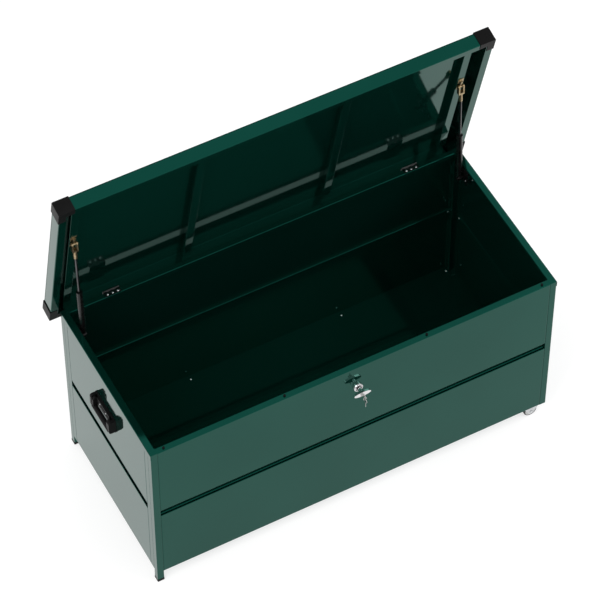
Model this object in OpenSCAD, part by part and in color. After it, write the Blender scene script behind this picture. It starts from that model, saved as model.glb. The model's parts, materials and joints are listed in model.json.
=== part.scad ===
// Sheet-steel storage chest on two casters, with a hinged lid held open by two gas struts.
// Frame: X along the length, Y towards the back, Z up. The origin is on the floor, under the centre.

/* [Body] */
// Length of the body over the side rails
body_w = 1264; // [1100:1:1400]
// Depth of the body over the front and back panels
body_d = 557; // [520:1:620]
// Height of the rim above the floor
rim_z = 610; // [560:1:680]
// Height of the panels' bottom edge above the floor
skirt_z = 44; // [44:1:60]
// Thickness of the sheet
sheet = 1.2; // [0.8:0.1:1.5]
// Size of the square corner posts
post = 20; // [18:1:25]
// Width of the flat stile beside each post on the ends
stile = 20; // [15:1:30]

/* [Panels] */
// Height of each upper panel
panel_h = 271; // [240:1:280]
// Height of the groove between the upper and lower panels
groove_h = 24; // [16:1:30]
// Depth of the groove
groove_deep = 8; // [5:0.5:12]
// Width of the front rim's top face
rim_front = 19; // [16:0.5:24]
// Width of the back rim's top face
rim_back = 17; // [15:0.5:20]
// Height of the rim's inner lip
rim_lip = 18; // [14:1:20]
// Height of the floor tray's top face above the floor
tray_z = 74; // [72:1:90]

/* [Lid] */
// Angle of the lid as drawn, in degrees above closed
lid_open = 77.2; // [40:0.1:80]
// Reach of the lid in front of the hinge pin, over the corner caps
lid_front = 573; // [568:1:590]
// Reach of the lid behind the hinge pin, over the corner caps
lid_back = 49; // [46:1:52]
// Length of the lid over the corner caps
lid_w = 1319; // [1310:1:1330]
// Height of the lid's lip above the hinge pin
lid_lip = 3.3; // [3.3:0.1:4]
// Height of the lid's top sheet above the hinge pin
lid_top = 44.2; // [43:0.1:46]
// How far the corner caps stand proud of the sheet
cap_proud = 2.5; // [1.5:0.1:3]
// Length of each corner cap along the lid's edges
cap_len = 48.5; // [40:0.5:55]
// Width of the lip under the lid's edge
lip_w = 23; // [18:1:25]
// Depth of the lid's ribs
rib_deep = 18.5; // [15:0.5:20]
// Width of the lid's ribs
rib_w = 25; // [20:1:30]
// Distance of the end ribs and the struts from the centre
strut_x = 596; // [590:1:598]
// Distance of the middle ribs from the centre
rib_x = 220.6; // [180:0.1:260]

/* [Hinges] */
// Distance of each hinge from the centre
hinge_x = 474; // [440:1:500]
// Length of each hinge
hinge_len = 49; // [45:1:60]
// Height of the hinge pin above the rim
pin_up = 2.5; // [2.5:0.1:2.9]

/* [Gas struts] */
// Distance of the lower pivot behind the centre
strut_y = 206; // [195:1:212]
// Depth of the lower pivot below the rim
strut_drop = 42; // [38:1:50]
// Distance of the upper pivot in front of the hinge pin
strut_v = 338.7; // [330:0.1:345]
// Height of the upper pivot above the hinge pin's plane
strut_up = 17; // [15:0.1:18]
// Radius of the tube
tube_r = 9; // [8:0.5:10]
// Radius of the rod
rod_r = 4; // [3:0.5:5]
// Distance of the tube's top end from the lower pivot
tube_top = 181; // [176:1:186]

/* [Lock] */
// Depth of the lock's centre below the rim
lock_drop = 85; // [80:1:88]
// Length of the T handle's bar
bar_len = 52; // [45:1:65]
// Distance of the bar's centre from the front panel
bar_out = 28; // [26:1:34]

/* [Carry handle] */
// Distance of the handle's top edge below the rim
grip_drop = 108; // [90:1:130]
// Length of the handle's base
grip_len = 119; // [110:1:130]
// Distance of the handle's middle behind the centre
grip_y = 3; // [-20:1:20]

/* [Casters and feet] */
// Radius of the caster wheels
wheel_r = 20.8; // [18:0.1:20.8]
// Distance of the casters' axles from the centre
caster_x = 587; // [560:1:590]
// Height of the plastic feet
foot_h = 12; // [8:1:15]

/* [Hidden] */
$fn = 48;

green = "#004535";
green_dark = "#003529";
black = "#1e1e1e";
zinc = "#c4c6c8";
brass = "#c9a961";

// Faces of the body. The ends' sheets sit one sheet thickness inside the rails.
side_x = body_w / 2 - sheet;
front_y = body_d / 2;
post_x = side_x - post;
post_y = front_y - post;
field_y = post_y - stile;
groove_top = rim_z - panel_h;
groove_low = groove_top - groove_h;
ledge_z = groove_top + 13;
gutter_z = groove_low - 12;

// Hinge pin, and the lid's own frame: -Y forward from the pin, Z up, before it is opened.
pin_y = front_y + 2.5;
pin_z = rim_z + pin_up;
pin_r = 1.3;
knuckle_r = 2.5;
lid_x = lid_w / 2;
skin_x = lid_x - cap_proud;
skin_front = lid_front - cap_proud;
skin_back = lid_back - cap_proud;
rib_face = lid_top - sheet - rib_deep;

// Strut: upper pivot with the lid as drawn, length and lean.
upper_y = pin_y - strut_v * cos(lid_open) + strut_up * sin(lid_open);
upper_z = pin_z + strut_v * sin(lid_open) + strut_up * cos(lid_open);
lower_z = rim_z - strut_drop;
plate_x = post_x - 2.3;
strut_len = norm([upper_y - strut_y, upper_z - lower_z]);
strut_lean = atan2(upper_y - strut_y, upper_z - lower_z);
pivot_r = 4;
clevis_pin_r = 3;
fit = 0.05;

lock_z = rim_z - lock_drop;
spindle_r = 6;
cam_in = 93.5;
cam_out = 98.5;
key_y = -bar_out - 4.4;
key_hole = 11;

handle_x = side_x;
grip_z = rim_z - grip_drop;
bail_out = 12;
bail_z = grip_z - 12;
bail_pin_r = 3;
bail_half = 49.5;

caster_y = front_y - 16.5;
axle_r = 3;
plate_t = 1.6;

// A box from its lowest to its highest corner.
module span(lo, hi) {
    translate(lo)
        cube(hi - lo);
}

// The same thing at the left end and mirrored at the right end.
module both_ends() {
    for (flip = [0, 1])
        mirror([flip, 0, 0])
            children();
}

// A cylinder along X or Y from one coordinate to another.
module rod_x(x0, x1, r) {
    translate([x0, 0, 0])
        rotate([0, 90, 0])
            cylinder(h = x1 - x0, r = r);
}

module rod_y(y0, y1, r) {
    translate([0, y0, 0])
        rotate([-90, 0, 0])
            cylinder(h = y1 - y0, r = r);
}

// A screw head seated on a face at z = 0, with a shallow recess.
module screw_head(r = 3.4, h = 1.8) {
    difference() {
        union() {
            cylinder(h = h * 0.45, r = r);
            translate([0, 0, h * 0.45])
                cylinder(h = h * 0.55, r1 = r, r2 = r * 0.62);
        }
        translate([0, 0, h * 0.55])
            cylinder(h = h, r = r * 0.26);
    }
}

// ---- Body frame -----------------------------------------------------------

// A square tube post from z0 up to just under the rail.
module corner_post(x, y, z0) {
    color(green)
        translate([x, y, z0])
            difference() {
                cube([post, post, rim_z - sheet - z0]);
                translate([1.5, 1.5, -1])
                    cube([post - 3, post - 3, rim_z]);
            }
}

module post_front_left() {
    corner_post(-side_x, -front_y, foot_h);
}

module post_back_left() {
    corner_post(-side_x, post_y, foot_h);
}

module post_front_right() {
    corner_post(post_x, -front_y, skirt_z);
}

module post_back_right() {
    corner_post(post_x, post_y, skirt_z);
}

// Flat strips that close the end walls between the posts and the pressed panels.
module side_stiles() {
    color(green)
        both_ends()
            for (side = [-1, 1])
                mirror([0, side < 0 ? 1 : 0, 0]) {
                    span([side_x - sheet, field_y, skirt_z], [side_x, post_y, rim_z - sheet]);
                    span([side_x - 7, field_y, skirt_z], [side_x, field_y + sheet, rim_z - sheet]);
                }
}

// Cross section of an upper panel: out is the outer face, material lies towards -x.
module upper_section(out, rim) {
    deep = out - groove_deep;
    polygon([
        [out, groove_top], [out, rim_z], [out - rim, rim_z], [out - rim, rim_z - rim_lip],
        [out - rim + sheet, rim_z - rim_lip], [out - rim + sheet, rim_z - sheet],
        [out - sheet, rim_z - sheet], [out - sheet, groove_top + sheet],
        [deep + sheet, groove_top + sheet], [deep + sheet, ledge_z - sheet - 0.3],
        [deep, ledge_z - sheet - 0.3], [deep, groove_top]
    ]);
}

// Cross section of a lower panel: behind its top edge is a gutter, then the groove's back and a ledge.
module lower_section(out, foot) {
    deep = out - groove_deep;
    polygon([
        [out, skirt_z], [out, groove_low], [out - sheet, groove_low], [out - sheet, gutter_z],
        [deep, gutter_z], [deep, ledge_z - sheet], [out - sheet - 0.3, ledge_z - sheet],
        [out - sheet - 0.3, ledge_z], [deep - sheet, ledge_z], [deep - sheet, gutter_z - sheet],
        [out - sheet, gutter_z - sheet], [out - sheet, skirt_z + sheet],
        [out - foot, skirt_z + sheet], [out - foot, skirt_z]
    ]);
}

// Extrude a section along X for the front or back wall, between the posts.
module long_wall(half) {
    rotate([90, 0, 90])
        linear_extrude(height = 2 * half, center = true)
            children();
}

module front_upper_panel() {
    color(green)
        difference() {
            mirror([0, 1, 0])
                long_wall(post_x)
                    upper_section(front_y, rim_front);
            translate([0, 0, lock_z])
                rod_y(-front_y - 1, -front_y + 3, 12);
        }
}

module front_lower_panel() {
    color(green)
        mirror([0, 1, 0])
            long_wall(post_x)
                lower_section(front_y, 16);
}

module back_upper_panel() {
    color(green)
        long_wall(post_x)
            upper_section(front_y, rim_back);
}

module back_lower_panel() {
    color(green)
        long_wall(post_x)
            lower_section(front_y, 16);
}

// An end panel has no rim of its own: the rail covers its top edge.
module end_upper(x_out) {
    deep = x_out - groove_deep;
    top = rim_z - sheet;
    rotate([90, 0, 0])
        linear_extrude(height = 2 * field_y, center = true)
            polygon([
                [x_out, groove_top], [x_out, top], [x_out - sheet, top],
                [x_out - sheet, groove_top + sheet], [deep + sheet, groove_top + sheet],
                [deep + sheet, ledge_z - sheet - 0.3], [deep, ledge_z - sheet - 0.3], [deep, groove_top]
            ]);
}

module end_lower(x_out) {
    rotate([90, 0, 0])
        linear_extrude(height = 2 * field_y, center = true)
            lower_section(x_out, 16);
}

module left_upper_panel() {
    color(green)
        mirror([1, 0, 0])
            end_upper(side_x);
}

module left_lower_panel() {
    color(green)
        mirror([1, 0, 0])
            end_lower(side_x);
}

module right_upper_panel() {
    color(green)
        end_upper(side_x);
}

module right_lower_panel() {
    color(green)
        end_lower(side_x);
}

// The end rail: a top plate over the posts, an outer leg and an inner lip between the posts.
module rim_rail() {
    color(green) {
        span([post_x, -front_y, rim_z - sheet], [side_x + sheet, front_y, rim_z]);
        span([side_x, -front_y, rim_z - post], [side_x + sheet, front_y, rim_z]);
        span([post_x, -post_y, rim_z - rim_lip], [post_x + sheet, post_y, rim_z]);
    }
}

module left_rim_rail() {
    mirror([1, 0, 0])
        rim_rail();
}

module right_rim_rail() {
    rim_rail();
}

// The floor is a flat tray, notched at the posts, with its ends turned up against the walls.
module floor_tray() {
    tab_x = side_x - sheet - 0.4;
    color(green_dark) {
        span([-post_x + 0.5, -front_y + sheet + 0.2, tray_z - sheet], [post_x - 0.5, front_y - sheet - 0.2, tray_z]);
        span([-side_x + 2, -field_y, tray_z - sheet], [side_x - 2, field_y, tray_z]);
        for (side = [0, 1])
            mirror([0, side, 0])
                span([-tab_x, field_y + sheet + 0.4, tray_z - sheet], [tab_x, post_y - 0.4, tray_z]);
        both_ends()
            span([side_x - 2 - sheet, -field_y, tray_z - sheet], [side_x - 2, field_y, tray_z + 38]);
    }
}

// Three channels across the chest carry the tray and the casters.
module floor_beams() {
    color(green_dark)
        for (x = [-strut_x + 9, 0, caster_x])
            translate([x, 0, 0])
                difference() {
                    span([-20, -front_y + 2, skirt_z + sheet], [20, front_y - 2, tray_z - sheet]);
                    span([-18, -front_y, skirt_z + sheet + 2], [18, front_y, tray_z]);
                }
}

// A foot is a square cap under the post with a plug that fills the tube.
module leg_feet() {
    color(black)
        for (y = [-front_y, post_y])
            translate([-side_x, y, 0]) {
                translate([-0.4, -0.4, 2])
                    cube([post + 0.8, post + 0.8, foot_h - 2]);
                translate([1, 1, 0])
                    cube([post - 2, post - 2, 2]);
                translate([1.6, 1.6, foot_h])
                    cube([post - 3.2, post - 3.2, 16]);
            }
}

// ---- Casters --------------------------------------------------------------

// A fixed fork: a plate, two cheeks with rounded ends and the axle's bore.
module caster_fork() {
    color(zinc)
        translate([caster_x, 0, 0])
            difference() {
                union() {
                    span([-29, -13, skirt_z - plate_t], [39, 13, skirt_z]);
                    for (side = [0, 1])
                        mirror([0, side, 0])
                            translate([0, 11, 0])
                                intersection() {
                                    rotate([90, 0, 0])
                                        linear_extrude(height = 4, center = true)
                                            polygon([
                                                [-9, wheel_r - 4], [-6, wheel_r - 8], [6, wheel_r - 8],
                                                [9, wheel_r - 4], [24, skirt_z - plate_t],
                                                [-24, skirt_z - plate_t]
                                            ]);
                                    span([-30, -0.5, 0], [40, 1.5, skirt_z]);
                                }
                }
                translate([0, 0, wheel_r])
                    rod_y(-20, 20, axle_r + fit);
            }
}

module caster_fork_front() {
    translate([0, -caster_y, 0])
        caster_fork();
}

module caster_fork_back() {
    translate([0, caster_y, 0])
        caster_fork();
}

module caster_axles() {
    color(zinc)
        for (y = [-caster_y, caster_y])
            translate([caster_x, y, wheel_r]) {
                rod_y(-13, 13, axle_r);
                rod_y(-15, -12.5, 5);
                rod_y(12.5, 15, 5);
            }
}

// Wheel centre with a raised boss, and a thin tyre around it.
module wheel_hub(y) {
    color("#d5d6d4")
        translate([caster_x, y, wheel_r])
            rotate([90, 0, 0])
                rotate_extrude()
                    polygon([
                        [axle_r + fit, -9.8], [7, -9.8], [7, -6], [13, -6], [15, -8],
                        [wheel_r - 3.5, -8], [wheel_r - 3.5, 8], [15, 8], [13, 6], [7, 6],
                        [7, 9.8], [axle_r + fit, 9.8]
                    ]);
}

module tyre(y) {
    color(black)
        translate([caster_x, y, wheel_r])
            rotate([90, 0, 0])
                rotate_extrude()
                    polygon([
                        [wheel_r - 3.5, -8.5], [wheel_r - 1.5, -8.5], [wheel_r, -6], [wheel_r, 6],
                        [wheel_r - 1.5, 8.5], [wheel_r - 3.5, 8.5]
                    ]);
}

module wheel_hub_front() {
    wheel_hub(-caster_y);
}

module wheel_hub_back() {
    wheel_hub(caster_y);
}

module tyre_front() {
    tyre(-caster_y);
}

module tyre_back() {
    tyre(caster_y);
}

// ---- Hinges ---------------------------------------------------------------

// Place children in the lid's frame, opened about the hinge pin.
module on_lid() {
    translate([0, pin_y, pin_z])
        rotate([-lid_open, 0, 0])
            children();
}

// Knuckle number i of five; the body's leaf has the even ones.
module knuckle(i) {
    step = hinge_len / 5;
    x0 = -hinge_len / 2 + i * step + 0.2;
    difference() {
        rod_x(x0, x0 + step - 0.4, knuckle_r);
        rod_x(-hinge_len, hinge_len, pin_r + fit);
    }
}

// Tab that joins a knuckle to its leaf, from y0 to y1 at height z0 to z1.
module knuckle_tab(i, y0, y1, z0, z1) {
    step = hinge_len / 5;
    x0 = -hinge_len / 2 + i * step + 0.2;
    span([x0, y0, z0], [x0 + step - 0.4, y1, z1]);
}

module hinge_base_leaves() {
    leaf_t = 1.1;
    color(zinc)
        for (x = [-hinge_x, hinge_x])
            translate([x, pin_y, pin_z]) {
                span([-hinge_len / 2, -19, -pin_up], [hinge_len / 2, -3, leaf_t - pin_up]);
                for (i = [0, 2, 4]) {
                    knuckle(i);
                    knuckle_tab(i, -3.2, -1.5, -pin_up, leaf_t - pin_up);
                }
            }
}

module hinge_pins() {
    color(zinc)
        for (x = [-hinge_x, hinge_x])
            translate([x, pin_y, pin_z])
                rod_x(-hinge_len / 2, hinge_len / 2, pin_r);
}

module hinge_lid_leaves() {
    color(zinc)
        on_lid()
            for (x = [-hinge_x, hinge_x])
                translate([x, 0, 0]) {
                    span([-hinge_len / 2, 3, lid_lip - 1.4], [hinge_len / 2, 40, lid_lip]);
                    for (i = [1, 3]) {
                        knuckle(i);
                        knuckle_tab(i, 0.3, 3.2, lid_lip - 1.4, lid_lip - 0.3);
                    }
                }
}

// ---- Lid ------------------------------------------------------------------

module lid_top_sheet() {
    color(green)
        on_lid()
            span([-skin_x, -skin_front, lid_top - sheet], [skin_x, skin_back, lid_top]);
}

// Edge channel: outer wall, lip below and a narrow flange under the top sheet.
module edge_section(wide) {
    top = lid_top - sheet;
    polygon([
        [0, lid_lip], [0, top], [-14, top], [-14, top - sheet], [-sheet, top - sheet],
        [-sheet, lid_lip + sheet], [-wide, lid_lip + sheet], [-wide, lid_lip]
    ]);
}

module lid_front_rail() {
    color(green)
        on_lid()
            translate([0, -skin_front, 0])
                mirror([0, 1, 0])
                    long_wall(skin_x)
                        edge_section(lip_w);
}

module lid_back_rail() {
    color(green)
        on_lid()
            translate([0, skin_back, 0])
                long_wall(skin_x)
                    edge_section(lip_w);
}

// Side channels stop short of the front and back ones, whose lips close the corners.
module side_rail() {
    translate([skin_x, (skin_back - skin_front) / 2, 0])
        rotate([90, 0, 0])
            linear_extrude(height = skin_front + skin_back - 2 * lip_w - 0.4, center = true)
                edge_section(lip_w);
}

module lid_left_rail() {
    color(green)
        on_lid()
            mirror([1, 0, 0])
                side_rail();
}

module lid_right_rail() {
    color(green)
        on_lid()
            side_rail();
}

// A channel rib under the top sheet, from the front rail's wall to the back rail's.
module lid_rib(x) {
    top = lid_top - sheet;
    half = rib_w / 2;
    front = sheet - skin_front;
    back = skin_back - sheet;
    color(green)
        on_lid()
            translate([x, 0, 0])
                difference() {
                    union() {
                        span([-half, front, rib_face], [half, back, top - sheet]);
                        span([-half, front + 13.2, rib_face], [half, back - 13.2, top]);
                    }
                    span([-half + sheet, -lid_front, rib_face + sheet], [half - sheet, lid_back, top + 1]);
                }
}

module lid_rib_end_left() {
    lid_rib(-strut_x);
}

module lid_rib_mid_left() {
    lid_rib(-rib_x);
}

module lid_rib_mid_right() {
    lid_rib(rib_x);
}

module lid_rib_end_right() {
    lid_rib(strut_x);
}

// A moulded cap over a corner of the lid: top, two walls and an L-shaped lip below.
module corner_cap(flip_x, at_back) {
    low = lid_lip - 1.3;
    high = lid_top + cap_proud;
    y_out = at_back == 1 ? lid_back : -lid_front;
    color(black)
        mirror([flip_x, 0, 0])
            on_lid()
                translate([lid_x, y_out, low])
                    mirror([0, at_back, 0])
                        difference() {
                            linear_extrude(height = high - low)
                                polygon([
                                    [0, 2], [0, cap_len], [-cap_len, cap_len], [-cap_len, 0], [-2, 0]
                                ]);
                            translate([-cap_len - cap_proud, cap_proud, lid_lip - low])
                                cube([cap_len, cap_len, lid_top - lid_lip]);
                            translate([-cap_len - lip_w, lip_w, -1])
                                cube([cap_len, cap_len, lid_lip - low + 2]);
                        }
}

module corner_cap_front_left() {
    corner_cap(1, 0);
}

module corner_cap_front_right() {
    corner_cap(0, 0);
}

module corner_cap_back_left() {
    corner_cap(1, 1);
}

module corner_cap_back_right() {
    corner_cap(0, 1);
}

// A tongue riveted to the front lip, which the lock's cam hooks over when the lid is shut.
module lid_keeper() {
    color(green)
        on_lid()
            translate([0, lip_w - skin_front, lid_lip]) {
                span([-10, 0, 0], [10, 20, sheet]);
                span([-10, -14, sheet], [10, sheet, 2 * sheet]);
            }
}

// ---- Gas struts -----------------------------------------------------------

// Place children at a strut's lower pivot, with Z along the strut.
module on_strut(x) {
    translate([x, strut_y, lower_z])
        rotate([-strut_lean, 0, 0])
            children();
}

// A plate under the end rail's lip with the stud that the strut turns on.
module strut_wall_brackets() {
    color(black)
        both_ends() {
            span([plate_x, strut_y - 26, lower_z - 14], [post_x, strut_y + 18, rim_z - 4]);
            translate([0, strut_y, lower_z]) {
                rod_x(strut_x - 5.5, plate_x, pivot_r);
                rod_x(strut_x - 8, strut_x - 4.5, 5.5);
            }
        }
}

// Tube with an eye at its foot, hollow for the piston, and a gland at its top.
module strut_tube(x) {
    color(black)
        on_strut(x)
            difference() {
                union() {
                    rod_x(-4, 4, 8);
                    translate([0, 0, 7])
                        cylinder(h = 8, r = 5);
                    translate([0, 0, 14])
                        cylinder(h = tube_top - 14, r = tube_r);
                }
                rod_x(-10, 10, pivot_r + fit);
                translate([0, 0, 22])
                    cylinder(h = tube_top - 30, r = tube_r - 1.5);
                translate([0, 0, 30])
                    cylinder(h = tube_top, r = rod_r + fit);
            }
}

module strut_tube_left() {
    strut_tube(-strut_x);
}

module strut_tube_right() {
    strut_tube(strut_x);
}

// Rod with the piston on its lower end.
module strut_rod(x) {
    color("#8d8f90")
        on_strut(x) {
            translate([0, 0, tube_top - 24])
                cylinder(h = strut_len - 44 - tube_top + 24, r = rod_r);
            translate([0, 0, tube_top - 24])
                cylinder(h = 8, r = tube_r - 1.6);
        }
}

module strut_rod_left() {
    strut_rod(-strut_x);
}

module strut_rod_right() {
    strut_rod(strut_x);
}

// Clevis: a sleeve on the rod, a fork and the pin through its two arms.
module strut_clevis(x) {
    color(brass)
        on_strut(x)
            translate([0, 0, strut_len]) {
                translate([0, 0, -56])
                    difference() {
                        cylinder(h = 30, r = 5.8);
                        translate([0, 0, -1])
                            cylinder(h = 13, r = rod_r);
                    }
                span([-9, -6, -28], [9, 6, -22]);
                for (side = [0, 1])
                    mirror([side, 0, 0]) {
                        span([4.8, -6, -24], [9, 6, 0]);
                        rod_x(4.8, 9, 6.5);
                    }
                rod_x(-10.5, 10.5, clevis_pin_r);
            }
}

module strut_clevis_left() {
    strut_clevis(-strut_x);
}

module strut_clevis_right() {
    strut_clevis(strut_x);
}

// Two foot plates on the rib's face and a saddle, open below, that the clevis pin sits in.
module lid_strut_brackets() {
    color(brass)
        on_lid()
            for (x = [-strut_x, strut_x])
                translate([x, -strut_v, 0])
                    difference() {
                        union() {
                            span([-9, -30, rib_face - 1.6], [9, -9, rib_face]);
                            span([-9, 9, rib_face - 1.6], [9, 22, rib_face]);
                            span([-3, -22, strut_up], [3, 10, rib_face]);
                        }
                        translate([0, 0, strut_up])
                            rod_x(-4, 4, clevis_pin_r + 0.8);
                    }
}

// ---- Lock -----------------------------------------------------------------

// Place children at the lock's centre on the front panel, with -Y outwards.
module at_lock() {
    translate([0, -front_y, lock_z])
        children();
}

// A bezel outside, a barrel through the panel and a hexagonal nut inside.
module lock_housing() {
    color(zinc)
        at_lock()
            difference() {
                union() {
                    rotate([90, 0, 0])
                        rotate_extrude()
                            polygon([[9.5, 0], [14.5, 0], [14.5, 4], [13.5, 8], [11, 8], [10.5, 4], [9.5, 4]]);
                    rod_y(0, 17, 11.8);
                    translate([0, sheet, 0])
                        rotate([-90, 0, 0])
                            cylinder(h = 6, r = 18, $fn = 6);
                }
                rod_y(-20, 30, spindle_r + fit);
            }
}

// Spindle and flattened bar of the T handle, bored for the key plug.
module lock_t_handle() {
    color("#d0d2d4")
        at_lock()
            difference() {
                union() {
                    rod_y(-bar_out, 23.5, spindle_r);
                    translate([0, -bar_out, 0])
                        rotate([90, 0, 0])
                            linear_extrude(height = 7, center = true)
                                scale([bar_len / 17, 1])
                                    circle(r = 8.5);
                }
                rod_y(-bar_out - 4, -bar_out + 22, 4 + fit);
            }
}

// Cam on the spindle's inner end: a bent arm with a finger that passes over the lid's tongue.
module lock_cam() {
    color(zinc)
        at_lock()
            translate([0, 25, 0])
                rotate([90, 0, 0])
                    linear_extrude(height = 3, center = true) {
                        difference() {
                            union() {
                                circle(r = 11);
                                rotate(-12)
                                    translate([0, -6])
                                        square([cam_in + 1, 12]);
                            }
                            circle(r = 3);
                        }
                        intersection() {
                            difference() {
                                circle(r = cam_out, $fn = 180);
                                circle(r = cam_in, $fn = 180);
                            }
                            polygon([
                                [0, 0], [2 * cam_out * cos(16), -2 * cam_out * sin(16)],
                                [2 * cam_out, 0], [2 * cam_out * cos(6), 2 * cam_out * sin(6)]
                            ]);
                        }
                    }
}

// Key plug in the T handle, with the slot the blade goes into.
module lock_plug() {
    color(zinc)
        at_lock()
            translate([0, -bar_out, 0])
                difference() {
                    rod_y(-3.5, 21, 4);
                    span([-0.7, -5, -2.6], [0.7, 22, 2.6]);
                }
}

// A flat key standing upright: blade, shoulder and a rounded bow with a hole.
module key_shape(blade) {
    rotate([90, 0, 90])
        linear_extrude(height = 1.2, center = true)
            difference() {
                union() {
                    translate([0, -2.4])
                        square([blade, 4.8]);
                    translate([-7, 0])
                        scale([1, 1.1])
                            circle(r = 7.5);
                }
                translate([-key_hole, 0])
                    circle(r = 2);
            }
}

module key() {
    color("#b4b6b8")
        at_lock()
            translate([0, key_y, 0])
                key_shape(20);
}

// Ring through the key's bow, with the spare key hanging beside the first one.
module spare_key_ring() {
    ring_r = 5;
    color("#b4b6b8")
        at_lock()
            translate([0, key_y - key_hole, -1.15 - ring_r]) {
                rotate([90, 0, 0])
                    rotate_extrude()
                        translate([ring_r, 0])
                            circle(r = 0.7);
                translate([1.7, 0, -ring_r - 0.9 - key_hole])
                    rotate([-90, 0, 0])
                        key_shape(20);
            }
}

// ---- Carry handle ---------------------------------------------------------

// Place children on the left wall at the handle's middle; X+ then points outwards.
module at_handle() {
    translate([-handle_x, grip_y, 0])
        mirror([1, 0, 0])
            children();
}

// Plate with a raised bar for the two fixing screws and a block at each end for the bail's pins.
module handle_base() {
    half = grip_len / 2;
    color(black)
        at_handle()
            difference() {
                union() {
                    span([0, -half, grip_z - 52], [4, half, grip_z]);
                    span([0, -38, grip_z - 19], [10, 38, grip_z]);
                    for (side = [0, 1])
                        mirror([0, side, 0]) {
                            span([0, bail_half + 0.4, grip_z - 50], [14, half, grip_z - 2]);
                            span([0, bail_half + 0.4, grip_z - 42], [22, half, grip_z - 10]);
                            for (z = [10, 42])
                                translate([14, 0, grip_z - z])
                                    rod_y(bail_half + 0.4, half, 8);
                        }
                }
                translate([bail_out, 0, bail_z])
                    rod_y(-half - 1, half + 1, bail_pin_r + fit);
            }
}

// Swinging bail: two arms with pins and a rounded bar between them.
module handle_bail() {
    bar_z = grip_z - 45;
    color(black)
        at_handle() {
            translate([bail_out, 0, bail_z])
                for (side = [0, 1])
                    mirror([0, side, 0]) {
                        rod_y(bail_half - 9, bail_half, 7);
                        rod_y(bail_half - 1, grip_len / 2, bail_pin_r);
                    }
            for (side = [0, 1])
                mirror([0, side, 0])
                    span([bail_out - 6, bail_half - 9, bar_z], [bail_out + 9, bail_half, bail_z]);
            translate([bail_out + 3, 0, bar_z])
                rod_y(-bail_half, bail_half, 8);
        }
}

// ---- Small parts ----------------------------------------------------------

module rim_bumpers() {
    color(black)
        for (x = [-588, -221, 221, 588])
            translate([x, -front_y + 9.5, rim_z]) {
                cylinder(h = 3.5, r = 3.5);
                cylinder(h = 5.3, r = 2.6);
            }
}

// Screws that hold the panels, floor, hinges, strut brackets and handle.
module body_screws() {
    joint_z = groove_top + 4;
    color(zinc) {
        for (x = [-hinge_x, hinge_x], i = [-1, 0, 1])
            translate([x + i * 15.7, pin_y - 12, rim_z + 1.1])
                screw_head(3.2, 1.6);
        for (x = [-605, -250, 250, 605], side = [-1, 1])
            translate([x, side * (front_y - 17), tray_z])
                screw_head(3, 1.5);
        both_ends() {
            for (side = [-1, 1]) {
                translate([side_x - groove_deep - sheet, side * (field_y - 6), joint_z])
                    rotate([0, -90, 0])
                        screw_head(3, 1.5);
                translate([post_x - 6, side * (front_y - groove_deep - sheet), joint_z])
                    rotate([side * 90, 0, 0])
                        screw_head(3, 1.5);
            }
        }
        for (y = [-18, 18])
            translate([-handle_x - 10, grip_y + y, grip_z - 10])
                rotate([0, -90, 0])
                    screw_head(2.4, 1.2);
        both_ends() {
            for (y = [strut_y - 16, strut_y + 12])
                translate([plate_x, y, lower_z - 3])
                    rotate([0, -90, 0])
                        screw_head(2.6, 1.6);
            translate([post_x, strut_y - 50, rim_z - 8])
                rotate([0, -90, 0])
                    screw_head(2.4, 1.4);
            translate([side_x - sheet, field_y - 5, rim_z - 78])
                rotate([0, -90, 0])
                    screw_head(2.6, 1.4);
        }
    }
}

post_front_left();
post_back_left();
post_front_right();
post_back_right();
side_stiles();
front_upper_panel();
front_lower_panel();
back_upper_panel();
back_lower_panel();
left_upper_panel();
left_lower_panel();
right_upper_panel();
right_lower_panel();
left_rim_rail();
right_rim_rail();
floor_tray();
floor_beams();
leg_feet();
caster_fork_front();
caster_fork_back();
caster_axles();
hinge_base_leaves();
hinge_pins();
strut_wall_brackets();
lock_housing();
handle_base();
rim_bumpers();
body_screws();
lid_top_sheet();
lid_front_rail();
lid_back_rail();
lid_left_rail();
lid_right_rail();
lid_rib_end_left();
lid_rib_mid_left();
lid_rib_mid_right();
lid_rib_end_right();
corner_cap_front_left();
corner_cap_front_right();
corner_cap_back_left();
corner_cap_back_right();
hinge_lid_leaves();
lid_strut_brackets();
lid_keeper();
strut_tube_left();
strut_tube_right();
strut_rod_left();
strut_rod_right();
strut_clevis_left();
strut_clevis_right();
handle_bail();
lock_t_handle();
lock_cam();
lock_plug();
key();
spare_key_ring();
wheel_hub_front();
wheel_hub_back();
tyre_front();
tyre_back();
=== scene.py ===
"""Sheet-steel storage chest with its lid held open by gas struts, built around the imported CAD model."""

import json
import math

import bmesh
import bpy
from mathutils import Matrix, Vector


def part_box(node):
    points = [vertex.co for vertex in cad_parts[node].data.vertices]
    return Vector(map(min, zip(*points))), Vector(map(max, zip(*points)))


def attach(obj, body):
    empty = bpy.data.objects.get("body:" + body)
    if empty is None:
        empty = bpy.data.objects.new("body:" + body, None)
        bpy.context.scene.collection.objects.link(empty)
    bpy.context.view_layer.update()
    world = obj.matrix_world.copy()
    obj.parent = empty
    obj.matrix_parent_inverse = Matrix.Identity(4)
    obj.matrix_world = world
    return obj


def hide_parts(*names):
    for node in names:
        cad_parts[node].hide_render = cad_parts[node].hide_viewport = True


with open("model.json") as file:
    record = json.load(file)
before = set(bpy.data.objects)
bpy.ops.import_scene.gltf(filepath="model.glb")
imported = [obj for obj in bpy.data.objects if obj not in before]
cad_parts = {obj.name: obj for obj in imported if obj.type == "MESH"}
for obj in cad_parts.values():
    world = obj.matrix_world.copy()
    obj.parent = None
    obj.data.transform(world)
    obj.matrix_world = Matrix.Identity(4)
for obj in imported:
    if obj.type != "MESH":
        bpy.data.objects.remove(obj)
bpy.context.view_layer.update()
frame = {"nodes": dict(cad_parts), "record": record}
NODES = frame["nodes"]
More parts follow.
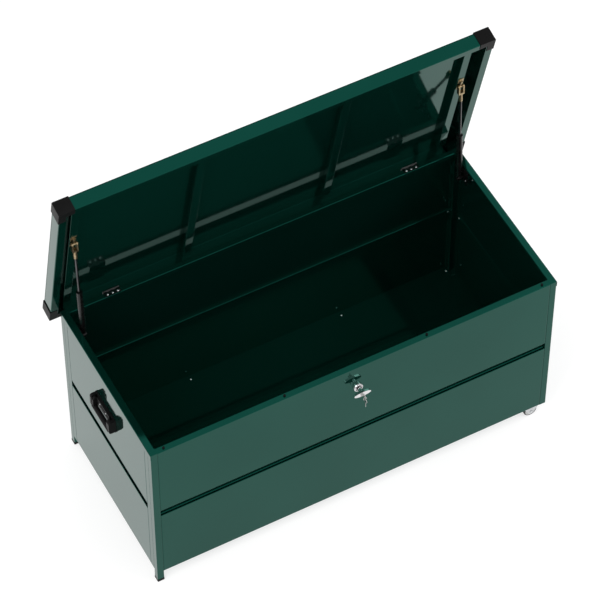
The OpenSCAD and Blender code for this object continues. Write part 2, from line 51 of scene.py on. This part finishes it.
BODY_OF = {n: b for b, members in frame["record"]["behaviour"]["bodies"].items() for n in members}

# ---------------------------------------------------------------- camera

scene = bpy.context.scene
camera_data = bpy.data.cameras.new("camera")
camera_data.lens = 205.5
camera_data.sensor_width = 36
camera_data.clip_end = 60
camera = bpy.data.objects.new("camera", camera_data)
camera.location = (-2.7766, -5.1342, 8.0821)
camera.rotation_euler = (math.radians(37.936), 0, math.radians(-28.149))
scene.collection.objects.link(camera)
scene.camera = camera

# ---------------------------------------------------------------- materials


def nodes_of(name):
    mat = bpy.data.materials.new(name)
    mat.use_nodes = True
    tree = mat.node_tree
    return mat, tree, tree.nodes["Principled BSDF"]


NOISE_ROUGHNESS = 0.55
TEXTURE_LOW, TEXTURE_HIGH = 0.3, 0.7  # noise rarely goes past these, so they are mapped to the ends of a range


def noise(tree, scale, detail=3.0, stretch=None):
    """Noise in object space, stretched along an axis for drawn metal."""
    coord = tree.nodes.new("ShaderNodeTexCoord")
    mapping = tree.nodes.new("ShaderNodeMapping")
    mapping.inputs["Scale"].default_value = stretch or (1, 1, 1)
    tex = tree.nodes.new("ShaderNodeTexNoise")
    tex.inputs["Scale"].default_value = scale
    tex.inputs["Detail"].default_value = detail
    tex.inputs["Roughness"].default_value = NOISE_ROUGHNESS
    tree.links.new(coord.outputs["Object"], mapping.inputs["Vector"])
    tree.links.new(mapping.outputs["Vector"], tex.inputs["Vector"])
    return tex.outputs["Fac"]


def ramp(tree, source, lo, hi):
    """Map a texture value to a range of numbers."""
    m = tree.nodes.new("ShaderNodeMapRange")
    m.inputs["From Min"].default_value = TEXTURE_LOW
    m.inputs["From Max"].default_value = TEXTURE_HIGH
    m.inputs["To Min"].default_value = lo
    m.inputs["To Max"].default_value = hi
    tree.links.new(source, m.inputs["Value"])
    return m.outputs["Result"]


def tint(tree, source, dark, light):
    """Map a texture value to a blend of two colours."""
    r = tree.nodes.new("ShaderNodeValToRGB")
    r.color_ramp.elements[0].position = TEXTURE_LOW
    r.color_ramp.elements[0].color = (*dark, 1)
    r.color_ramp.elements[1].position = TEXTURE_HIGH
    r.color_ramp.elements[1].color = (*light, 1)
    tree.links.new(source, r.inputs["Fac"])
    return r.outputs["Color"]


def bump(tree, bsdf, layers):
    """Stack bumps, each (height, strength, distance in metres)."""
    last = None
    for height, strength, distance in layers:
        b = tree.nodes.new("ShaderNodeBump")
        b.inputs["Strength"].default_value = strength
        b.inputs["Distance"].default_value = distance
        tree.links.new(height, b.inputs["Height"])
        if last:
            tree.links.new(last, b.inputs["Normal"])
        last = b.outputs["Normal"]
    tree.links.new(last, bsdf.inputs["Normal"])


def surface(name, dark, light, rough, metallic=0.0, grain=300.0, grain_depth=0.00004, patch=12.0,
            stretch=None, specular=None):
    """A material with colour, roughness and height that vary at the scale of the real finish."""
    mat, tree, bsdf = nodes_of(name)
    patches = noise(tree, patch, 4.0, stretch)
    fine = noise(tree, grain, 3.0, stretch)
    tree.links.new(tint(tree, patches, dark, light), bsdf.inputs["Base Color"])
    tree.links.new(ramp(tree, patches, rough[0], rough[1]), bsdf.inputs["Roughness"])
    bsdf.inputs["Metallic"].default_value = metallic
    if specular is not None:
        bsdf.inputs["Specular IOR Level"].default_value = specular
    bump(tree, bsdf, [(fine, 0.35, grain_depth)])
    return mat


def gloss_paint(name, dark, light, wave):
    """Stoved gloss paint: fine orange peel over sheet that is never quite flat."""
    mat, tree, bsdf = nodes_of(name)
    tree.links.new(tint(tree, noise(tree, 3.0, 2.0), dark, light), bsdf.inputs["Base Color"])
    tree.links.new(ramp(tree, noise(tree, 24.0, 4.0), 0.05, 0.085), bsdf.inputs["Roughness"])
    bsdf.inputs["Metallic"].default_value = 0.83
    bsdf.inputs["Specular IOR Level"].default_value = 0.15
    bump(tree, bsdf, [(noise(tree, 2.6, 1.0), 0.5, wave), (noise(tree, 420.0, 2.0), 0.10, 0.00006)])
    return mat


def grey(value, blue=0.0):
    return (value, value, value + blue)


SLOTS = {
    "green_paint": gloss_paint("green_paint", (0.0030, 0.0560, 0.0405), (0.0040, 0.0625, 0.0455), 0.00028),
    "black_plastic": surface("black_plastic", grey(0.0034), grey(0.0060, 0.0002), (0.36, 0.50),
                             grain=900.0, specular=0.075),
    "zinc_plate": surface("zinc_plate", (0.46, 0.47, 0.48), (0.62, 0.63, 0.64), (0.22, 0.36), 1.0,
                          grain=500.0, patch=60.0),
    # painted shade and painted reflection: the same zinc plate as zinc_plate, with its colour darkened far below
    # real zinc so that these parts carry the dark of their shaded surroundings in their own colour
    "dull_zinc": surface("dull_zinc", (0.035, 0.037, 0.037), (0.075, 0.078, 0.078), (0.25, 0.40), 1.0,
                         grain=500.0, patch=90.0),
    "chrome": surface("chrome", (0.62, 0.61, 0.62), (0.74, 0.73, 0.74), (0.04, 0.09), 1.0,
                      grain=200.0, grain_depth=0.00001, patch=40.0),
    "yellow_zinc": surface("yellow_zinc", (0.24, 0.175, 0.09), (0.46, 0.37, 0.23), (0.25, 0.40), 1.0,
                           grain=500.0, patch=110.0),
    "black_paint": surface("black_paint", grey(0.0020), grey(0.0050), (0.22, 0.32),
                           grain=700.0, patch=30.0, specular=0.25),
    "rod_steel": surface("rod_steel", grey(0.055, 0.002), grey(0.10, 0.005), (0.18, 0.30), 1.0,
                         grain=700.0, patch=60.0, stretch=(1, 1, 0.15)),
    "key_steel": surface("key_steel", (0.44, 0.44, 0.43), (0.62, 0.62, 0.60), (0.28, 0.42), 1.0,
                         grain=900.0, patch=150.0),
    "hub_plastic": surface("hub_plastic", (0.55, 0.56, 0.55), (0.66, 0.67, 0.66), (0.30, 0.42), grain=800.0),
    "tyre_rubber": surface("tyre_rubber", grey(0.012), grey(0.024), (0.60, 0.80),
                           grain=1200.0, grain_depth=0.0001),
}
SLOT_OF = {s["node"]: s["material_slot"] for s in frame["record"]["subparts"]}

# ---------------------------------------------------------------- mesh tools


SHARP_ANGLE = math.radians(32)
BEVEL_ANGLE = math.radians(28)
FLAT_ANGLE = math.radians(1)
WELD = 1e-6
CAD_WELD = 2e-6


def piece(name, bm, node):
    """Turn a bmesh into a shown piece that stands for a CAD node, with that node's finish and body."""
    mesh = bpy.data.meshes.new(name)
    bmesh.ops.remove_doubles(bm, verts=bm.verts, dist=WELD)
    bmesh.ops.recalc_face_normals(bm, faces=bm.faces)
    bm.to_mesh(mesh)
    bm.free()
    obj = bpy.data.objects.new(name, mesh)
    scene.collection.objects.link(obj)
    mesh.materials.append(SLOTS[SLOT_OF[node]])
    for polygon in mesh.polygons:
        polygon.use_smooth = True
    mesh.set_sharp_from_angle(angle=SHARP_ANGLE)
    weighted = obj.modifiers.new("flat_faces", "WEIGHTED_NORMAL")
    weighted.keep_sharp = True
    weighted.weight = 100
    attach(obj, BODY_OF[node])
    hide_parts(node)


def softened(node, width, segments=2):
    """The CAD shape with its edges rounded, as a moulded, cast or rolled part has them."""
    bm = bmesh.new()
    bm.from_mesh(NODES[node].data)
    bmesh.ops.remove_doubles(bm, verts=bm.verts, dist=CAD_WELD)
    bmesh.ops.dissolve_limit(bm, angle_limit=FLAT_ANGLE, verts=bm.verts, edges=bm.edges)
    edges = [e for e in bm.edges if len(e.link_faces) == 2 and e.calc_face_angle(0) > BEVEL_ANGLE]
    if edges:
        bmesh.ops.bevel(bm, geom=edges, offset=width, offset_type="OFFSET", segments=segments, profile=0.5,
                        affect="EDGES", clamp_overlap=True)
    piece(node + "_shape", bm, node)


def rounded(points, radius, steps=4):
    """An open polyline with its corners replaced by arcs."""
    out = []
    for i, p in enumerate(points):
        here = Vector(p)
        if i in (0, len(points) - 1):
            out.append(here)
            continue
        a = Vector(points[i - 1]) - here
        b = Vector(points[i + 1]) - here
        half = a.angle(b) / 2
        reach = min(radius / math.tan(half), a.length * 0.49, b.length * 0.49)
        r = reach * math.tan(half)
        start = here + a.normalized() * reach
        centre = here + (a.normalized() + b.normalized()).normalized() * (r / math.sin(half))
        v0 = start - centre
        v1 = here + b.normalized() * reach - centre
        turn = math.atan2(v0.x * v1.y - v0.y * v1.x, v0.dot(v1))
        for k in range(steps + 1):
            t = turn * k / steps
            c, s = math.cos(t), math.sin(t)
            out.append(centre + Vector((v0.x * c - v0.y * s, v0.x * s + v0.y * c)))
    return out


def sheet_outline(path, thick, radius):
    """Both faces of a bent sheet that follows a centre line, as one closed outline."""
    mid = rounded(path, radius)
    left, right = [], []
    for i, p in enumerate(mid):
        before = (p - mid[i - 1]).normalized() if i else None
        after = (mid[i + 1] - p).normalized() if i < len(mid) - 1 else None
        d = ((before or after) + (after or before)).normalized()
        n = Vector((-d.y, d.x)) * (thick / 2)
        left.append(p + n)
        right.append(p - n)
    return left + right[::-1]


def sweep(bm, outline, spots, place):
    """Extrude a closed outline through the stations in spots; place maps (u, v, w) to the frame."""
    rings = [[bm.verts.new(place(p.x, p.y, w)) for p in outline] for w in spots]
    n = len(outline)
    for a, b in zip(rings, rings[1:]):
        for i in range(n):
            bm.faces.new((a[i], a[(i + 1) % n], b[(i + 1) % n], b[i]))
    bm.faces.new(rings[0][::-1])
    bm.faces.new(rings[-1])


def stations(lo, hi, step=0.06):
    count = max(1, round((hi - lo) / step))
    return [lo + (hi - lo) * i / count for i in range(count + 1)]


# ---------------------------------------------------------------- sizes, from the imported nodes

T = 0.0012  # sheet
BEND = 0.0016  # bend radius at the middle of the sheet
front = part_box("front_upper_panel")
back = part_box("back_upper_panel")
low_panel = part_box("front_lower_panel")
FACE = -front[0][1]
BACK_FACE = back[1][1]
RIM = front[1][2]
FRONT_RIM, BACK_RIM = 0.019, 0.017  # widths of the folded rims
RIM_LIP, RAIL_LIP = 0.018, 0.020  # how far their inner and outer lips hang down
GROOVE_TOP = front[0][2]
GROOVE_LOW = GROOVE_TOP - 0.024
GUTTER = GROOVE_LOW - 0.0132
SKIRT = low_panel[0][2]
SKIRT_FOLD = 0.016
LEDGE = low_panel[1][2]
POST_X = front[1][0]
SIDE_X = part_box("post_front_right")[1][0]
POST_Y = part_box("post_back_right")[0][1]
FIELD_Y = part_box("right_upper_panel")[1][1]
DEEP = 0.008  # the groove's depth
STEP = 0.0018  # the step in the groove's back
EASE = 0.0018  # radius at a panel's ends, beside the posts
CLEAR = 0.0003  # gap between sheets that overlap


def upper_path(face, rim):
    """Centre line of the front or back upper panel: lip, rim, wall, and the fold up behind the groove."""
    lip, wall, recess = face - rim + T / 2, face - T / 2, face - DEEP + T / 2
    return [(lip, RIM - RIM_LIP), (lip, RIM - T / 2), (wall, RIM - T / 2), (wall, GROOVE_TOP + T / 2),
            (recess, GROOVE_TOP + T / 2), (recess, LEDGE - T - CLEAR)]


def lower_path(face):
    """Centre line of a lower panel: skirt, wall, gutter, the stepped back of the groove, and the ledge."""
    wall, hem = face - T / 2, face - 1.5 * T - 0.0001
    low_back, top_back = face - DEEP + STEP - T / 2, face - DEEP - T / 2
    return [(face - SKIRT_FOLD, SKIRT + T / 2), (wall, SKIRT + T / 2), (wall, GROOVE_LOW - T / 2),
            (hem, GROOVE_LOW - T / 2), (hem, GUTTER + T / 2), (low_back, GUTTER + T / 2),
            (low_back, GROOVE_LOW - 0.0004), (top_back, GROOVE_LOW + STEP), (top_back, LEDGE - T / 2),
            (face - T - CLEAR, LEDGE - T / 2)]


def ends_eased(half):
    """Stations along a panel, close together where its ends roll over."""
    tips = [half, half - 0.15 * EASE, half - 0.5 * EASE, half - EASE]
    return [-t for t in tips] + stations(-half + 0.004, half - 0.004) + tips[::-1]


def eased(u, w, face, half):
    """Roll the outer face in at the panel's ends, so that a fine seam shows beside the next sheet."""
    near = max(0.0, EASE - (half - abs(w)))
    return min(u, face - EASE + math.sqrt(max(0.0, EASE * EASE - near * near)))


def panel(node, path, face, half, place):
    bm = bmesh.new()
    sweep(bm, sheet_outline(path, T, BEND), ends_eased(half),
          lambda u, v, w: place(eased(u, w, face, half), v, w))
    piece(node + "_sheet", bm, node)


for wall, side, face, rim in (("front", -1, FACE, FRONT_RIM), ("back", 1, BACK_FACE, BACK_RIM)):
    for level, path in (("upper", upper_path(face, rim)), ("lower", lower_path(face))):
        panel(wall + "_" + level + "_panel", path, face, POST_X, lambda u, v, w: (w, side * u, v))

for end, side in (("left", -1), ("right", 1)):
    wall, recess = SIDE_X - T / 2, SIDE_X - DEEP + T / 2
    path = [(wall, RIM - T), (wall, GROOVE_TOP + T / 2), (recess, GROOVE_TOP + T / 2), (recess, LEDGE - T - CLEAR)]
    for level, section in (("upper", path), ("lower", lower_path(SIDE_X))):
        panel(end + "_" + level + "_panel", section, SIDE_X, FIELD_Y, lambda u, v, w: (side * u, w, v))
    bm = bmesh.new()
    inner, outer = POST_X + T / 2, SIDE_X + T / 2
    full = [(inner, RIM - RIM_LIP), (inner, RIM - T / 2), (outer, RIM - T / 2), (outer, RIM - RAIL_LIP)]
    short = [(POST_X, RIM - T / 2)] + full[2:]
    sweep(bm, sheet_outline(full, T, BEND), [-POST_Y, POST_Y], lambda u, v, w: (side * u, w, v))
    for lo, hi in ((-FACE, -POST_Y), (POST_Y, FACE)):
        sweep(bm, sheet_outline(short, T, BEND), [lo, hi], lambda u, v, w: (side * u, w, v))
    piece(end + "_rim_rail_sheet", bm, end + "_rim_rail")


def square_tube(corners, outside, big, small):
    """A square whose outside corner is rolled more than its other corners, which lie against the panels."""
    out = []
    for i, c in enumerate(corners):
        a = Vector(corners[i - 1]) - Vector(c)
        b = Vector(corners[(i + 1) % 4]) - Vector(c)
        tri = [Vector(c) + a * 0.5, Vector(c), Vector(c) + b * 0.5]
        out += rounded(tri, big if c == outside else small, 5)[1:-1]
    return out


# Corner posts.
POST_WALL = 0.0015
POST_ROLL, POST_EDGE = 0.0020, 0.0009  # radii of the outside corner and of the others
for end in ("front_left", "back_left", "front_right", "back_right"):
    node = "post_" + end
    lo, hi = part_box(node)
    corners = [(lo[0], lo[1]), (hi[0], lo[1]), (hi[0], hi[1]), (lo[0], hi[1])]
    outside = max(corners, key=lambda c: c[0] * lo[0] + c[1] * lo[1])
    wall = POST_WALL
    outer = square_tube(corners, outside, POST_ROLL, POST_EDGE)
    inner = square_tube([(lo[0] + wall, lo[1] + wall), (hi[0] - wall, lo[1] + wall), (hi[0] - wall, hi[1] - wall),
                         (lo[0] + wall, hi[1] - wall)], None, 0.0010, 0.0003)
    bm = bmesh.new()
    rings = [[bm.verts.new((p.x, p.y, z)) for p in ring] for ring in (outer, inner) for z in (lo[2], hi[2])]
    n = len(outer)
    for a, b in ((0, 1), (3, 2), (1, 3), (2, 0)):
        for i in range(n):
            bm.faces.new((rings[a][i], rings[a][(i + 1) % n], rings[b][(i + 1) % n], rings[b][i]))
    piece(node + "_tube", bm, node)

# ---------------------------------------------------------------- lid

# The lid is drawn shut, measured from its hinge pin, and turned open.
PIN = Vector((0, 0.281, 0.6125))
OPEN = Matrix.Rotation(math.radians(-77.2), 3, "X")
LIP, TOP = 0.0033, 0.0442  # heights of its lower and upper faces
SKIN_X, SKIN_FRONT, SKIN_BACK = 0.657, 0.5705, 0.0465
LIP_W = 0.023
RAIL_FLANGE = 0.014


def on_lid(x, y, z):
    return PIN + OPEN @ Vector((x, y, z))


def edge_path(out):
    return [(out - LIP_W, LIP + T / 2), (out - T / 2, LIP + T / 2), (out - T / 2, TOP - 1.5 * T),
            (out - RAIL_FLANGE, TOP - 1.5 * T)]


for node, out, side in (("lid_front_rail", SKIN_FRONT, -1), ("lid_back_rail", SKIN_BACK, 1)):
    bm = bmesh.new()
    sweep(bm, sheet_outline(edge_path(out), T, BEND), stations(-SKIN_X, SKIN_X),
          lambda u, v, w: on_lid(w, side * u, v))
    piece(node + "_sheet", bm, node)
for node, side in (("lid_left_rail", -1), ("lid_right_rail", 1)):
    bm = bmesh.new()
    sweep(bm, sheet_outline(edge_path(SKIN_X), T, BEND),
          stations(-SKIN_FRONT + LIP_W + 0.0002, SKIN_BACK - LIP_W - 0.0002),
          lambda u, v, w: on_lid(side * u, w, v))
    piece(node + "_sheet", bm, node)
RIB_HALF = 0.0125
RIB_FACE = TOP - T - 0.0185
RIB_END, RIB_MID = 0.596, 0.2206
rib_x = T / 2 - RIB_HALF
rib_path = [(rib_x, TOP - 2 * T), (rib_x, RIB_FACE + T / 2), (-rib_x, RIB_FACE + T / 2), (-rib_x, TOP - 2 * T)]
for node, x in (("lid_rib_end_left", -RIB_END), ("lid_rib_mid_left", -RIB_MID),
                ("lid_rib_mid_right", RIB_MID), ("lid_rib_end_right", RIB_END)):
    bm = bmesh.new()
    sweep(bm, sheet_outline(rib_path, T, BEND), stations(-SKIN_FRONT + T, SKIN_BACK - T),
          lambda u, v, w: on_lid(x + u, w, v))
    piece(node + "_sheet", bm, node)

softened("lid_top_sheet", 0.0009, 3)
for node in ("corner_cap_front_left", "corner_cap_front_right", "corner_cap_back_left", "corner_cap_back_right"):
    softened(node, 0.0011, 3)

# ---------------------------------------------------------------- the other CAD shapes, edges eased

EASED_EDGES = {
    "side_stiles": 0.00055, "floor_tray": 0.0001, "floor_beams": 0.0008, "leg_feet": 0.0012,
    "caster_fork_front": 0.0005, "caster_fork_back": 0.0005, "caster_axles": 0.0007,
    "hinge_base_leaves": 0.0003, "hinge_pins": 0.0002, "strut_wall_brackets": 0.0004,
    "lock_housing": 0.0005, "handle_base": 0.0016, "rim_bumpers": 0.0007, "body_screws": 0.00015,
    "hinge_lid_leaves": 0.0003, "lid_strut_brackets": 0.0004, "lid_keeper": 0.0004,
    "strut_tube_left": 0.0010, "strut_tube_right": 0.0010, "strut_rod_left": 0.0003, "strut_rod_right": 0.0003,
    "strut_clevis_left": 0.0006, "strut_clevis_right": 0.0006, "handle_bail": 0.0020,
    "lock_t_handle": 0.0014, "lock_cam": 0.0004, "lock_plug": 0.00015, "key": 0.00025,
    "spare_key_ring": 0.00025, "wheel_hub_front": 0.0006, "wheel_hub_back": 0.0006,
    "tyre_front": 0.0009, "tyre_back": 0.0009,
}
for node, width in EASED_EDGES.items():
    softened(node, width)

# ---------------------------------------------------------------- floor and light

floor_mat, floor_tree, floor_bsdf = nodes_of("studio_floor")
floor_tree.links.new(tint(floor_tree, noise(floor_tree, 1.5, 2.0), grey(0.36), grey(0.39)),
                     floor_bsdf.inputs["Base Color"])
floor_bsdf.inputs["Emission Color"].default_value = (1, 1, 1, 1)
floor_bsdf.inputs["Emission Strength"].default_value = 0.67
floor_bsdf.inputs["Roughness"].default_value = 0.9
floor_bsdf.inputs["Specular IOR Level"].default_value = 0.1
bm = bmesh.new()
bmesh.ops.create_grid(bm, x_segments=8, y_segments=8, size=12)
mesh = bpy.data.meshes.new("studio_floor")
bm.to_mesh(mesh)
bm.free()
mesh.materials.append(floor_mat)
floor = bpy.data.objects.new("studio_floor", mesh)
scene.collection.objects.link(floor)

world = bpy.data.worlds.new("studio")
world.use_nodes = True
world.node_tree.nodes["Background"].inputs["Color"].default_value = (1, 1, 1, 1)
world.node_tree.nodes["Background"].inputs["Strength"].default_value = 0.90
scene.world = world


def softbox(name, spot, target, size, power):
    data = bpy.data.lights.new(name, "AREA")
    data.shape = "RECTANGLE"
    data.size, data.size_y = size
    data.energy = power
    lamp = bpy.data.objects.new(name, data)
    lamp.location = spot
    lamp.rotation_euler = (Vector(target) - Vector(spot)).to_track_quat("-Z", "Y").to_euler()
    scene.collection.objects.link(lamp)


softbox("key", (-3.6, -1.6, 4.0), (0, 0, 0.3), (3.0, 3.0), 105)
softbox("fill", (3.4, -2.6, 3.4), (0, 0, 0.3), (2.5, 2.5), 70)

scene.view_settings.view_transform = "Standard"
